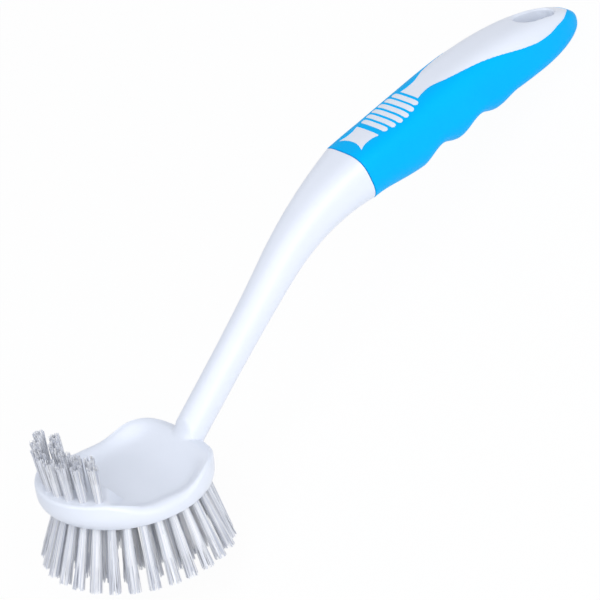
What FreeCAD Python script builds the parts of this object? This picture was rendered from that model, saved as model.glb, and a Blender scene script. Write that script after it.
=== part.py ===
import FreeCAD, Part
import math
import os
from FreeCAD import Placement, Rotation, Vector

# Dish brush: a white plastic moulding (head, neck and handle core) with a soft grip moulded round
# the handle, and bristle tufts stapled into holes in the sole and in the toe of the head.
# It is drawn with the sole flat on z = 0, the handle towards +X and the sole's bristles below,
# and is laid down at the end on its heel bristles and the end of its grip. Sizes in millimetres.

# Head: an oval block, fuller at the heel half of its rim, which is high at the toe, low at the
# sides, highest at the shoulders, and falls again to the heel under the neck
head_half_length = 34.0
heel_half_length = 32.0
heel_fullness = 2.5
head_half_width = 29.4
flare_height = 8.6
toe_height = 12.1
toe_fall_start = -25.0
toe_fall_end = -2.0
rim_height = 6.7
shoulder_rise_start = 5.0
shoulder_x = 25.0
shoulder_height = 12.4
heel_fall_end = 36.0
heel_height = 9.0
sole_half_length = 30.0
sole_half_width = 28.0
sole_centre_x = 2.2
knee_height = 3.0
knee_share = 0.65

# Toe block: a raised platform for the toe tufts, with a sloping back and two slanting ends
toe_block_edge = -14.0
toe_block_half_width = 11.0
toe_block_end_angle = 60.0
toe_block_slope = 54.0

# Scoop: a hollow in the top of the head inside a narrow lip
lip_width = 3.2
scoop_floor = 4.6
scoop_toe_x = -1.0
scoop_toe_radius = 33.0
scoop_heel_x = 7.0
scoop_heel_radius = 24.0
scoop_back_x = 27.5
scoop_width_radius = 300.0

# Handle path: a straight neck, a bend, and a straight grip
neck_root_x = 28.0
neck_root_z = 10.4
neck_angle = 46.0
neck_length = 71.9
neck_depth_in_head = 8.0
bend_radius = 103.6
grip_angle = 13.0
grip_length = 108.2

# Handle sections: half widths, and heights of the crown and belly from the path
neck_root_radius = 6.35
neck_swell = 3.2
collar_half_width = 12.6
collar_crown = 10.8
collar_belly = 12.0
collar_before_grip = 13.0
grip_half_width = 13.4
width_rounds_from = 60.0
grip_crown = 16.5
crown_rounds_from = 52.0
grip_front_belly = 12.2
grip_rear_belly = 9.0
belly_rounds_from = 80.0
neck_roundness = 2.0
crown_flatness = 3.4
belly_roundness = 2.2

# Finger scallops along the belly of the grip
finger_count = 3
finger_pitch = 20.4
finger_depth = 1.8
first_knuckle = 13.9
last_finger_fall = 2.3

# Soft grip: a rubber skin with windows through which the white core shows
skin_thickness = 2.2
window_recess = 0.25
collar_groove = 0.4
tail_mark_start = -9.5
tail_mark_end = -0.5
tail_mark_half_width = 6.7
tail_mark_waist = 5.5
tail_mark_notch = 1.6
bar_count = 6
bar_pitch = 3.3
bar_width = 2.0
bar_end_flats = 4
first_bar = 3.2
end_bar_half_length = 7.4
middle_bar_half_length = 8.9
panel_start = 22.2
panel_start_half_width = 5.6
panel_waist = 30.0
panel_waist_half_width = 4.6
panel_half_width = 11.7
panel_widest = 72.0
panel_end_margin = 3.6

# Hang hole: a slot with round ends through the end of the grip, lined with the white plastic
hang_hole_from_end = 19.6
hang_hole_half_length = 9.0
hang_hole_half_width = 5.5
hang_hole_wall = 2.0

# Bristle tufts: bundles of filaments held by a flat wire anchor at the bottom of each hole
tuft_sides = 6
tuft_hole_radius = 1.65
tuft_clearance = 0.05
tuft_tip_radius = 2.35
sole_tuft_length = 24.8
sole_hole_depth = 3.4
edge_lean = 20.0
heel_lean = 6.0
heel_turn = 60.0
edge_row_count = 30
edge_row_inset = 2.3
middle_row_count = 18
middle_row_inset = 9.3
inner_row_count = 10
inner_row_inset = 16.2
centre_row_count = 4
centre_row_inset = 22.8
toe_tuft_length = 15.2
toe_hole_depth = 3.0
toe_tuft_lean = 6.0
toe_front_count = 8
toe_front_inset = 4.2
toe_front_half_angle = 43.5
toe_back_count = 6
toe_back_inset = 10.9
toe_back_half_angle = 36.0
anchor_thickness = 0.3
anchor_height = 1.4

PARTS = "parts"
OVAL_POINTS = 24
SKIN_SIDES = 20
CORE_SIDES = 16
NECK_STRIP = 12.0
FINGER_STRIPS = 4
END_STRIPS = (0.25, 0.5, 0.7, 0.84, 0.94, 0.985)
AXIS_X = Vector(1, 0, 0)
AXIS_Y = Vector(0, 1, 0)
AXIS_Z = Vector(0, 0, 1)
FAR = 200.0


def extrude_profile(points, half_width):
    """A prism from a closed outline in the XZ plane, equally far to both sides of it."""
    corners = [Vector(x, -half_width, z) for x, z in points]
    outline = Part.makePolygon(corners + corners[:1])
    return Part.Face(outline).extrude(Vector(0, 2 * half_width, 0))


def oval(toe_length, heel_length, half_width, fullness, centre):
    """A closed outline in a level plane: half an ellipse at the toe, and a fuller half at the heel."""
    points = []
    for i in range(OVAL_POINTS):
        turn = 2 * math.pi * i / OVAL_POINTS
        along, across = math.cos(turn), math.sin(turn)
        power = fullness if along > 0 else 2.0
        radius = (abs(along) ** power + abs(across) ** power) ** (-1 / power)
        length = heel_length if along > 0 else toe_length
        points.append(centre + Vector(length * radius * along, half_width * radius * across, 0))
    curve = Part.BSplineCurve()
    curve.interpolate(Points=points, PeriodicFlag=True)
    return Part.Wire(curve.toShape())


# The head

def s_bend(start, end):
    """Two equal arcs from one level to another, level at both ends, as edges in the XZ plane."""
    run, rise = end.x - start.x, end.z - start.z
    radius = (run ** 2 + rise ** 2) / (4 * abs(rise))
    turn = math.asin(run / (2 * radius))
    sway, lift = radius * math.sin(turn / 2), radius * (1 - math.cos(turn / 2))
    bulge = Vector(sway, 0, math.copysign(lift, rise))
    middle = (start + end) / 2
    return [
        Part.Arc(start, start + bulge, middle).toShape(),
        Part.Arc(middle, end - bulge, end).toShape(),
    ]


def head_top_cutter():
    """Everything above the rim, which falls to the sides, climbs to the shoulders and falls to the heel."""
    toe = Vector(toe_fall_start, 0, toe_height)
    side_front = Vector(toe_fall_end, 0, rim_height)
    side_back = Vector(shoulder_rise_start, 0, rim_height)
    shoulder = Vector(shoulder_x, 0, shoulder_height)
    heel = Vector(heel_fall_end, 0, heel_height)
    around = [
        heel,
        Vector(FAR, 0, heel_height),
        Vector(FAR, 0, FAR),
        Vector(-FAR, 0, FAR),
        Vector(-FAR, 0, toe_height),
        toe,
    ]
    rim = s_bend(toe, side_front) + [Part.makeLine(side_front, side_back)]
    rim += s_bend(side_back, shoulder) + s_bend(shoulder, heel)
    outline = Part.Wire(rim + Part.makePolygon(around).Edges)
    outline.translate(Vector(0, -FAR, 0))
    return Part.Face(outline).extrude(Vector(0, 2 * FAR, 0))


def toe_block_outline(height):
    """Plan of the toe block at a height: a straight back edge, and ends that run out past the toe."""
    out = (toe_height - height) / math.tan(math.radians(toe_block_slope))
    end = math.radians(toe_block_end_angle)
    x = toe_block_edge + out
    y = toe_block_half_width + out * math.tan(math.pi / 4 - end / 2)
    reach = Vector(-math.cos(end), math.sin(end), 0) * 2 * head_half_length
    right, left = Vector(x, -y, height), Vector(x, y, height)
    right_end = right + Vector(reach.x, -reach.y, 0)
    return Part.makePolygon([right, left, left + reach, right_end, right])


def toe_block():
    """The platform under the toe tufts, not yet trimmed to the head's outline."""
    return Part.makeLoft([toe_block_outline(0.0), toe_block_outline(toe_height)], True, True)


def head_outline(part, height):
    """The outline of the head at a height, part of the way from the oval of the sole to the rim's."""
    toe_length = mix(sole_half_length, head_half_length, part)
    heel_length = mix(sole_half_length, heel_half_length, part)
    half_width = mix(sole_half_width, head_half_width, part)
    centre = Vector(mix(sole_centre_x, 0.0, part), 0, height)
    return oval(toe_length, heel_length, half_width, mix(2.0, heel_fullness, part), centre)


def head_block():
    """The oval block of the head, turned under to the smaller sole, cut off along the rim and the toe block."""
    levels = ((0.0, 0.0), (knee_share, knee_height), (1.0, flare_height), (1.0, 2 * shoulder_height))
    outlines = [head_outline(part, height) for part, height in levels]
    block = Part.makeLoft(outlines, True, True)
    return block.cut(head_top_cutter()).fuse(block.common(toe_block()))


def quarter_arc(start_x, radius):
    """A quarter circle from the scoop's floor up to the vertical, towards -X for a negative radius."""
    half_turn = math.radians(45)
    size = abs(radius)
    start = Vector(start_x, 0, scoop_floor)
    middle = start + Vector(radius * math.sin(half_turn), 0, size * (1 - math.cos(half_turn)))
    return Part.Arc(start, middle, start + Vector(radius, 0, size)).toShape()


def scoop():
    """The hollow of the head: a floor that curves up to the toe and, more tightly, to the heel.

    It is bowed a little across, stops at the toe block, and cuts the front off the neck's root.
    """
    toe_side = quarter_arc(scoop_toe_x, -scoop_toe_radius)
    heel_side = quarter_arc(scoop_heel_x, scoop_heel_radius)
    floor = Part.makeLine(toe_side.valueAt(toe_side.FirstParameter), heel_side.valueAt(heel_side.FirstParameter))
    top = Part.makeLine(toe_side.valueAt(toe_side.LastParameter), heel_side.valueAt(heel_side.LastParameter))
    profile = Part.Face(Part.Wire(Part.sortEdges([toe_side, floor, heel_side, top])[0]))
    dish = profile.revolve(Vector(0, 0, scoop_floor + scoop_width_radius), AXIS_X, 360)
    reach = [(-FAR, 0), (scoop_back_x, 0), (scoop_back_x, FAR), (-FAR, FAR)]
    lengths = head_half_length - lip_width, heel_half_length - lip_width
    lip = oval(*lengths, head_half_width - lip_width, heel_fullness, Vector(0, 0, 0))
    inside_lip = Part.Face(lip).extrude(Vector(0, 0, FAR))
    return dish.common(extrude_profile(reach, head_half_width)).common(inside_lip).cut(toe_block())


# The handle

def handle_frame(station):
    """Point on the handle path at a distance along it, and the path's angle there in degrees."""
    bend_length = bend_radius * math.radians(neck_angle - grip_angle)
    start = math.radians(neck_angle)
    along = min(station, neck_length)
    x = neck_root_x + along * math.cos(start)
    z = neck_root_z + along * math.sin(start)
    turned = min(max(station - neck_length, 0.0), bend_length)
    angle = start - turned / bend_radius
    x += bend_radius * (math.sin(start) - math.sin(angle))
    z += bend_radius * (math.cos(angle) - math.cos(start))
    straight = max(station - neck_length - bend_length, 0.0)
    x += straight * math.cos(angle)
    z += straight * math.sin(angle)
    return Vector(x, 0, z), math.degrees(angle)


grip_start = neck_length + bend_radius * math.radians(neck_angle - grip_angle)
collar = grip_start - collar_before_grip
hang_hole = grip_length - hang_hole_from_end


def place_on_path(station):
    """Placement that turns local X along the path, and local Z to the crown of the handle."""
    point, angle = handle_frame(station)
    return Placement(point, Rotation(AXIS_Y, -angle))


def section(station, half_width, crown, belly, flatness, sides):
    """Closed section across the handle: a flattened crown and a round belly, as superellipses."""
    points = []
    for i in range(sides):
        turn = 2 * math.pi * i / sides
        side, rise = math.cos(turn), math.sin(turn)
        power = 2 / (flatness if rise > 0 else belly_roundness)
        reach = crown if rise > 0 else belly
        y = half_width * math.copysign(abs(side) ** power, side)
        z = reach * math.copysign(abs(rise) ** power, rise)
        points.append(Vector(0, y, z))
    wire = Part.makePolygon(points + points[:1])
    wire.Placement = place_on_path(station)
    return wire


def share(value, low, high):
    """How far a value lies between two others, as a share held between 0 and 1."""
    return min(max((value - low) / (high - low), 0.0), 1.0)


def mix(low, high, part):
    """A value part of the way from one to another."""
    return low + (high - low) * part


def ease(part):
    """A share that starts and ends gently."""
    return part * part * (3 - 2 * part)


def round_off(along, start, end):
    """A quarter ellipse: 1 up to the start of a rounding, and 0 at its end."""
    return math.sqrt(1 - share(along, start, end) ** 2)


def neck_sizes(station):
    """Half width, crown, belly and flatness of the neck, round at the head and wide at the collar."""
    swell = share(station, 0.0, collar) ** neck_swell
    half_width = mix(neck_root_radius, collar_half_width, swell)
    crown = mix(neck_root_radius, collar_crown, swell)
    belly = mix(neck_root_radius, collar_belly, swell)
    return half_width, crown, belly, mix(neck_roundness, crown_flatness, swell)


def grip_sizes(along, inset, fingers):
    """Half width, crown, belly and flatness of the grip, with its finger waves and rounded end."""
    end = grip_length - inset
    front = ease(share(along, -collar_before_grip, first_knuckle))
    half_width = mix(collar_half_width, grip_half_width, front)
    crown = mix(collar_crown, grip_crown, ease(share(along, -collar_before_grip, crown_rounds_from)))
    last_knuckle = first_knuckle + (finger_count - 1) * finger_pitch
    belly = mix(grip_front_belly, grip_rear_belly, share(along, first_knuckle, last_knuckle))
    if fingers:
        waved = min(max(along, first_knuckle), last_knuckle) - first_knuckle
        belly += finger_depth * math.cos(2 * math.pi * waved / finger_pitch)
        belly -= last_finger_fall * ease(share(along, last_knuckle, last_knuckle + finger_pitch / 2))
    belly = mix(collar_belly, belly, front)
    half_width = (half_width - inset) * round_off(along, width_rounds_from, end)
    crown = (crown - inset) * round_off(along, crown_rounds_from, end)
    belly = (belly - inset) * round_off(along, belly_rounds_from, end)
    return half_width, crown, belly, crown_flatness


def handle_loft(first, inset, strips_per_finger, sides):
    """The handle from a station of the neck to the end of the grip, drawn in by an inset.

    Its strips are short where the fingers go; with no strips for them the belly runs plain.
    """
    neck_steps = round((collar - first) / NECK_STRIP)
    wires = []
    for i in range(neck_steps):
        station = mix(first, collar, i / neck_steps)
        half_width, crown, belly, flatness = neck_sizes(station)
        wires.append(section(station, half_width - inset, crown - inset, belly - inset, flatness, sides))
    fingers = finger_count - 0.5
    steps = max(round(fingers * strips_per_finger), finger_count)
    stops = [-collar_before_grip, mix(-collar_before_grip, first_knuckle, 0.5)]
    stops += [first_knuckle + i * finger_pitch * fingers / steps for i in range(steps + 1)]
    rest = grip_length - inset - stops[-1]
    stops += [stops[-1] + rest * part for part in END_STRIPS]
    for stop in stops:
        sizes = grip_sizes(stop, inset, strips_per_finger > 0)
        wires.append(section(grip_start + stop, *sizes, sides))
    return Part.makeLoft(wires, True, True)


def grip_prism(outline, low, high):
    """A prism from an outline drawn on the grip (X along it, Y across), between two heights."""
    lowered = outline.copy()
    lowered.translate(Vector(0, 0, low))
    prism = Part.Face(lowered).extrude(Vector(0, 0, high - low))
    prism.Placement = place_on_path(grip_start).multiply(prism.Placement)
    return prism


def bar_outline(middle, half_length):
    """A bar across the grip with its ends rounded in short flats."""
    radius = bar_width / 2
    reach = half_length - radius
    turns = [math.pi * i / bar_end_flats for i in range(bar_end_flats + 1)]
    right = [Vector(middle + radius * math.cos(t), reach + radius * math.sin(t), 0) for t in turns]
    left = [Vector(2 * middle - point.x, -point.y, 0) for point in right]
    return Part.makePolygon(right + left + right[:1])


def tail_mark_outline():
    """A short band with drawn-in sides and a swallowtail end towards the neck."""
    start, end, wide = tail_mark_start, tail_mark_end, tail_mark_half_width
    middle = (start + end) / 2
    edges = [
        Part.makeLine(Vector(end, -wide, 0), Vector(end, wide, 0)),
        Part.Arc(Vector(end, wide, 0), Vector(middle, tail_mark_waist, 0), Vector(start, wide, 0)).toShape(),
        Part.Arc(Vector(start, wide, 0), Vector(start + tail_mark_notch, 0, 0), Vector(start, -wide, 0)).toShape(),
        Part.Arc(Vector(start, -wide, 0), Vector(middle, -tail_mark_waist, 0), Vector(end, -wide, 0)).toShape(),
    ]
    return Part.Wire(edges)


def panel_outline():
    """The long spade of the top panel, from a straight front edge to a round tip."""
    tip = grip_length - panel_end_margin
    half = [
        Vector(panel_start, panel_start_half_width, 0),
        Vector(panel_waist, panel_waist_half_width, 0),
        Vector(mix(panel_waist, panel_widest, 0.45), mix(panel_waist_half_width, panel_half_width, 0.72), 0),
        Vector(panel_widest, panel_half_width, 0),
        Vector(mix(panel_widest, tip, 0.68), panel_half_width * 0.75, 0),
    ]
    mirrored = [Vector(point.x, -point.y, 0) for point in reversed(half)]
    curve = Part.BSplineCurve()
    curve.interpolate(Points=half + [Vector(tip, 0, 0)] + mirrored)
    front = Part.makeLine(mirrored[-1], half[0])
    return Part.Wire([curve.toShape(), front])


def windows():
    """The openings of the grip's top: the swallowtail mark, the bars and the long panel."""
    outlines = [tail_mark_outline(), panel_outline()]
    for i in range(bar_count):
        from_middle = 2 * i / (bar_count - 1) - 1
        half_length = mix(middle_bar_half_length, end_bar_half_length, from_middle ** 2)
        outlines.append(bar_outline(first_bar + i * bar_pitch, half_length))
    return [grip_prism(outline, collar_crown / 2, FAR) for outline in outlines]


def hang_hole_prism(wall):
    """A slot with round ends through the end of the grip, widened by a wall."""
    radius = hang_hole_half_width + wall
    reach = hang_hole_half_length - hang_hole_half_width
    near, far = hang_hole - reach, hang_hole + reach
    edges = [
        Part.makeLine(Vector(near, -radius, 0), Vector(far, -radius, 0)),
        Part.Arc(Vector(far, -radius, 0), Vector(far + radius, 0, 0), Vector(far, radius, 0)).toShape(),
        Part.makeLine(Vector(far, radius, 0), Vector(near, radius, 0)),
        Part.Arc(Vector(near, radius, 0), Vector(near - radius, 0, 0), Vector(near, -radius, 0)).toShape(),
    ]
    return grip_prism(Part.Wire(edges), -FAR, FAR)


def behind_collar(gap):
    """Everything past the collar plane, which stands square to the handle."""
    block = Part.makeBox(FAR, FAR, FAR, Vector(gap, -FAR / 2, -FAR / 2))
    block.Placement = place_on_path(collar).multiply(block.Placement)
    return block


# Bristle tufts

def tuft_frames(turns, leans, centre, half_length, half_width, up):
    """Placements round an oval, local Z pointing out of each hole and leaning outwards."""
    frames = []
    for turn, lean in zip(turns, leans):
        spot = Vector(half_length * math.cos(turn), half_width * math.sin(turn), 0)
        outward = Vector(spot.x / half_length ** 2, spot.y / half_width ** 2, 0)
        outward.normalize()
        tilt = math.radians(lean)
        direction = outward * math.sin(tilt) + Vector(0, 0, math.cos(tilt) * up)
        sideways = AXIS_Z.cross(outward)
        turned = Rotation(sideways.cross(direction), sideways, direction, "ZYX")
        frames.append(Placement(centre + spot, turned))
    return frames


def sole_row(count, inset):
    """A closed row of tufts under the head, leaning out less at the heel and the further in it is."""
    half_length, half_width = sole_half_length - inset, sole_half_width - inset
    spread = half_length / (sole_half_length - edge_row_inset)
    angles = [360 * (i + 0.5) / count for i in range(count)]
    turns = [math.radians(angle) for angle in angles]
    from_heel = [share(min(angle, 360 - angle), 0, heel_turn) for angle in angles]
    leans = [spread * mix(heel_lean, edge_lean, ease(part)) for part in from_heel]
    return tuft_frames(turns, leans, Vector(sole_centre_x, 0, 0), half_length, half_width, -1)


def toe_row(count, inset, half_angle):
    """An arc of tufts standing on the toe."""
    angles = [180 + half_angle * (2 * i / (count - 1) - 1) for i in range(count)]
    turns = [math.radians(angle) for angle in angles]
    leans = [toe_tuft_lean] * count
    half_length, half_width = head_half_length - inset, head_half_width - inset
    return tuft_frames(turns, leans, Vector(0, 0, toe_height), half_length, half_width, 1)


def anchor(hole_depth):
    """A flat wire staple across the bottom of a hole, from one of its flats to the other."""
    half_span = tuft_hole_radius * math.cos(math.pi / tuft_sides) - tuft_clearance
    corner = Vector(-anchor_thickness / 2, -half_span, -hole_depth)
    return Part.makeBox(anchor_thickness, 2 * half_span, anchor_height, corner)


def bundle_ring(radius, height):
    """Corners round a bundle of filaments, a polygon with flats at both ends of its anchor."""
    turns = [2 * math.pi * i / tuft_sides for i in range(tuft_sides)]
    return [Vector(radius * math.cos(t), radius * math.sin(t), height) for t in turns]


def flat_face(corners):
    """A flat face with these corners."""
    return Part.Face(Part.makePolygon(corners + corners[:1]))


def tuft(length, hole_depth):
    """A bundle of filaments: close in its hole above the anchor, spreading to the trimmed tip."""
    close = tuft_hole_radius - tuft_clearance
    steps = ((close, anchor_height - hole_depth), (close, 0.0), (tuft_tip_radius, length))
    rings = [bundle_ring(radius, height) for radius, height in steps]
    faces = [flat_face(rings[0]), flat_face(rings[-1])]
    for low, high in zip(rings, rings[1:]):
        for i in range(tuft_sides):
            faces.append(flat_face([low[i - 1], low[i], high[i], high[i - 1]]))
    return Part.Solid(Part.Shell(faces))


def tuft_hole(hole_depth):
    """The hole that a tuft is stapled into, run out past the surface."""
    bottom = flat_face(bundle_ring(tuft_hole_radius, -hole_depth))
    return bottom.extrude(Vector(0, 0, 2 * hole_depth))


def placed(shape, frames):
    """Copies of a shape at each placement."""
    copies = []
    for frame in frames:
        copy = shape.copy()
        copy.Placement = frame
        copies.append(copy)
    return copies


# The brush put together

handle_outer = handle_loft(neck_length, 0.0, FINGER_STRIPS, SKIN_SIDES)
handle_inner = handle_loft(-neck_depth_in_head, window_recess, FINGER_STRIPS, SKIN_SIDES)
handle_core = handle_loft(neck_length, skin_thickness, 0, CORE_SIDES)

rows = {
    "edge_tuft": sole_row(edge_row_count, edge_row_inset),
    "middle_row_tufts": sole_row(middle_row_count, middle_row_inset),
    "inner_row_tufts": sole_row(inner_row_count, inner_row_inset),
    "centre_tuft": sole_row(centre_row_count, centre_row_inset),
    "toe_front_tuft": toe_row(toe_front_count, toe_front_inset, toe_front_half_angle),
    "toe_back_tuft": toe_row(toe_back_count, toe_back_inset, toe_back_half_angle),
}
grouped_rows = ("middle_row_tufts", "inner_row_tufts")

window_prisms = windows()
hole_lining = hang_hole_prism(hang_hole_wall)
hole = hang_hole_prism(0.0)

pocket = behind_collar(0.0).cut(handle_core)
for opening in window_prisms + [hole_lining]:
    pocket = pocket.cut(opening)
soft_grip = handle_outer.common(behind_collar(collar_groove)).common(pocket)
moulding = head_block().fuse(handle_inner.cut(pocket)).cut([scoop(), hole])

holes = []
parts = {}
anchors = {"sole_tuft_anchors": [], "toe_tuft_anchors": []}
for row, frames in rows.items():
    on_toe = row.startswith("toe")
    depth = toe_hole_depth if on_toe else sole_hole_depth
    length = toe_tuft_length if on_toe else sole_tuft_length
    holes += placed(tuft_hole(depth), frames)
    anchors["toe_tuft_anchors" if on_toe else "sole_tuft_anchors"] += placed(anchor(depth), frames)
    tufts = placed(tuft(length, depth), frames)
    if row in grouped_rows:
        parts[row] = Part.makeCompound(tufts)
    else:
        for number, bundle in enumerate(tufts, 1):
            parts[f"{row}_{number:02d}"] = bundle
for name, staples in anchors.items():
    parts[name] = Part.makeCompound(staples)
parts["brush_body"] = moulding.cut(holes)
parts["soft_grip"] = soft_grip

# Laid down: tilted until the tuft tips and the grip touch one plane, which becomes z = 0

def lowest(points, tilt):
    """Height of the lowest of some points once the brush is tilted, handle end down."""
    return min(p.z * math.cos(tilt) - p.x * math.sin(tilt) for p in points)


tip_points = [v.Point for name, part in parts.items() if "tuft" in name for v in part.Vertexes]
grip_points = soft_grip.tessellate(0.05)[0]
least, most = 0.0, math.radians(80)
for _ in range(40):
    tilt = (least + most) / 2
    if lowest(tip_points, tilt) < lowest(grip_points, tilt):
        least = tilt
    else:
        most = tilt

laying = Placement(Vector(0, 0, 0), Rotation(AXIS_Y, math.degrees(tilt)))
for part in parts.values():
    part.Placement = laying.multiply(part.Placement)
box = Part.makeCompound(list(parts.values())).optimalBoundingBox(False, False)
to_origin = Vector(-box.Center.x, 0, -box.ZMin)

os.makedirs(PARTS, exist_ok=True)
for name, part in parts.items():
    part.translate(to_origin)
    part.exportStep(os.path.join(PARTS, name + ".step"))

print("nodes", len(parts), "tilt", round(math.degrees(tilt), 2), "origin shift", to_origin)
print("box", box.XLength, box.YLength, box.ZLength)
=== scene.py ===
import bpy
import numpy as np
from mathutils import Matrix, Vector


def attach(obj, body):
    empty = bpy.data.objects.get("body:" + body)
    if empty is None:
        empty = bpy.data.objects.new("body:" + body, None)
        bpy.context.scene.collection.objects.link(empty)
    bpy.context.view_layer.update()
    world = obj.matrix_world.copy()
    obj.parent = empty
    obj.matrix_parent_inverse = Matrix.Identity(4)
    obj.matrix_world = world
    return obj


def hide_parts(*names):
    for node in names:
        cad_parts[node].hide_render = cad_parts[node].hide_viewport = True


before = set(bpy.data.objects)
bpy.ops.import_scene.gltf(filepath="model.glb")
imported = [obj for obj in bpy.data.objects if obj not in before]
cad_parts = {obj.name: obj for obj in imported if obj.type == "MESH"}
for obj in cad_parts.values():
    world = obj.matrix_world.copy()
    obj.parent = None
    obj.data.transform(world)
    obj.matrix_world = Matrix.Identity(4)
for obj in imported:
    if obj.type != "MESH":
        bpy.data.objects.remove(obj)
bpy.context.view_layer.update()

# Head of the brush body: an oval block of white polypropylene, injection moulded in one piece with
# the neck and the handle core. Its rim falls from the toe to the sides, climbs to two shoulders and
# falls to the heel under the neck. Inside its rounded lip lies a scoop, stopped by a block at the toe.
LIE_TILT = np.radians(34.36)
LIE_SHIFT = np.array([-108.3613, 0.0, 39.7769])
HEAD_HALF = np.array([34.0, 29.4])
HEEL_HALF_LENGTH, HEEL_FULLNESS = 32.0, 2.5
SOLE_HALF = np.array([30.0, 28.0])
SOLE_CENTRE = np.array([2.2, 0.0, 0.0])
FLARE_HEIGHT, WALL_CURVE = 8.6, 2.45
TOE_HEIGHT, SIDE_HEIGHT, SHOULDER_HEIGHT, HEEL_HEIGHT = 12.1, 6.9, 12.4, 9.0
TOE_FALL, SHOULDER_CLIMB, HEEL_FALL = (-25.0, -2.0), (5.0, 25.0), (25.0, 36.0)
TOE_BLOCK_EDGE, TOE_BLOCK_HALF_WIDTH, TOE_BLOCK_SOFTNESS = -14.0, 11.0, 0.9
TOE_BLOCK_END, TOE_BLOCK_SLOPE = np.radians(60.0), np.tan(np.radians(54.0))
SIDE_LIP, END_LIP, LIP_FLATNESS, LIP_ROLL = 3.2, 1.3, 0.9, 4.4
TOE_LIP_ENDS, HEEL_LIP_STARTS = (-24.0, -10.0), (2.0, 18.0)
SOLE_EDGE_ROUNDING = 0.6
SCOOP_FLOOR, SCOOP_SOFTNESS = 4.6, 1.6
SCOOP_TOE_X, SCOOP_TOE_RADIUS = -1.0, 33.0
SCOOP_HEEL_X, SCOOP_HEEL_RADIUS = 7.0, 24.0
NECK_ROOT, NECK_ANGLE = (28.0, 10.4), np.radians(46.0)
NECK_FACE_X, NECK_FACE_RADIUS = 27.5, 6.2
APRON_SLOPE, APRON_SOFTNESS = np.tan(np.radians(66.0)), 2.4
APRON_THICKNESS, APRON_BACK_SLOPE = 0.5, 3.0
HEAD_COLUMNS, TOP_ROWS, LIP_ROWS, WALL_ROWS, FOOT_ROWS, UNDERSIDE_ROWS = 240, 84, 9, 19, 4, 13
TOP_POLE, UNDERSIDE_POLE = 0.015, 0.02


def laid(points):
    """Brush points in mm with the sole level, turned by the tilt about Y and shifted to lie, in m."""
    x, y, z = np.moveaxis(points, -1, 0)
    cos, sin = np.cos(LIE_TILT), np.sin(LIE_TILT)
    return (np.stack([x * cos + z * sin, y, z * cos - x * sin], axis=-1) + LIE_SHIFT) / 1000


def share(value, low, high):
    """How far a value lies between two others, held between 0 and 1."""
    return np.clip((value - low) / (high - low), 0.0, 1.0)


def mix(low, high, part):
    """A value part of the way from one to another."""
    return low + (high - low) * part


def ease(part):
    """A share with a gentle start and end: 3 p squared less 2 p cubed."""
    return part * part * (3 - 2 * part)


def s_bend(part):
    """Two equal parabolas from 0 to 1, level at both ends."""
    return np.where(part < 0.5, 2 * part ** 2, 1 - 2 * (1 - part) ** 2)


def soft_least(a, b, softness):
    """The lesser of two heights, with the crease between them rounded over the softness."""
    near = np.clip(0.5 + 0.5 * (b - a) / softness, 0.0, 1.0)
    return mix(b, a, near) - softness * near * (1 - near)


def soft_most(a, b, softness):
    """The greater of two heights, with the crease between them rounded over the softness."""
    return -soft_least(-a, -b, softness)


def rim_profile(x):
    """Height of the rim along the head: three S-bends, from the toe to the sides, shoulders and heel."""
    fall = (SIDE_HEIGHT - TOE_HEIGHT) * s_bend(share(x, *TOE_FALL))
    climb = (SHOULDER_HEIGHT - SIDE_HEIGHT) * s_bend(share(x, *SHOULDER_CLIMB))
    return TOE_HEIGHT + fall + climb + (HEEL_HEIGHT - SHOULDER_HEIGHT) * s_bend(share(x, *HEEL_FALL))


def toe_block(x, y):
    """Height of the toe block: level, then a slope that starts at its back edge and slanting ends."""
    behind = x - TOE_BLOCK_EDGE
    beyond = np.abs(y) - TOE_BLOCK_HALF_WIDTH
    past_end = behind * np.sin(TOE_BLOCK_END) + beyond * np.cos(TOE_BLOCK_END)
    slope = TOE_HEIGHT - TOE_BLOCK_SLOPE * np.maximum(behind, past_end)
    return soft_least(TOE_HEIGHT, slope, TOE_BLOCK_SOFTNESS)


def rim_level(x, y):
    """Height of the rim: its profile, or the toe block where that is higher."""
    return soft_most(rim_profile(x), toe_block(x, y), TOE_BLOCK_SOFTNESS)


def top_level(x, y, past_lip):
    """Height of the top: a scoop below the rim's profile, rolled up to it at the lip, and the toe block.

    Along the head the scoop is an arc at the toe, a level floor and a tighter arc at the heel.
    Towards the lip it rises to the rim as a bell curve of the way past it. In front of the neck a steep
    apron climbs to the ellipse in which the neck's round stem is cut off.
    """
    toe_arc = np.sqrt(SCOOP_TOE_RADIUS ** 2 - np.minimum(x - SCOOP_TOE_X, 0.0) ** 2)
    heel_arc = np.sqrt(np.maximum(SCOOP_HEEL_RADIUS ** 2 - np.maximum(x - SCOOP_HEEL_X, 0.0) ** 2, 0.0))
    dish = SCOOP_FLOOR + SCOOP_TOE_RADIUS - toe_arc + SCOOP_HEEL_RADIUS - heel_arc
    rim = rim_profile(x)
    bowl = soft_least(rim, dish, SCOOP_SOFTNESS)
    bowl = mix(bowl, rim, np.exp(-((past_lip / LIP_ROLL) ** 2)))
    face_middle = NECK_ROOT[1] + (NECK_FACE_X - NECK_ROOT[0]) * np.tan(NECK_ANGLE)
    face_half = NECK_FACE_RADIUS / np.cos(NECK_ANGLE)
    face = face_middle + face_half * np.sqrt(np.maximum(1 - (y / NECK_FACE_RADIUS) ** 2, 0.0))
    ahead = np.maximum(NECK_FACE_X - x, 0.0)
    behind = np.maximum(x - NECK_FACE_X - APRON_THICKNESS, 0.0)
    apron = face - APRON_SLOPE * ahead - APRON_BACK_SLOPE * behind
    return soft_most(soft_most(bowl, apron, APRON_SOFTNESS), toe_block(x, y), TOE_BLOCK_SOFTNESS)


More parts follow.
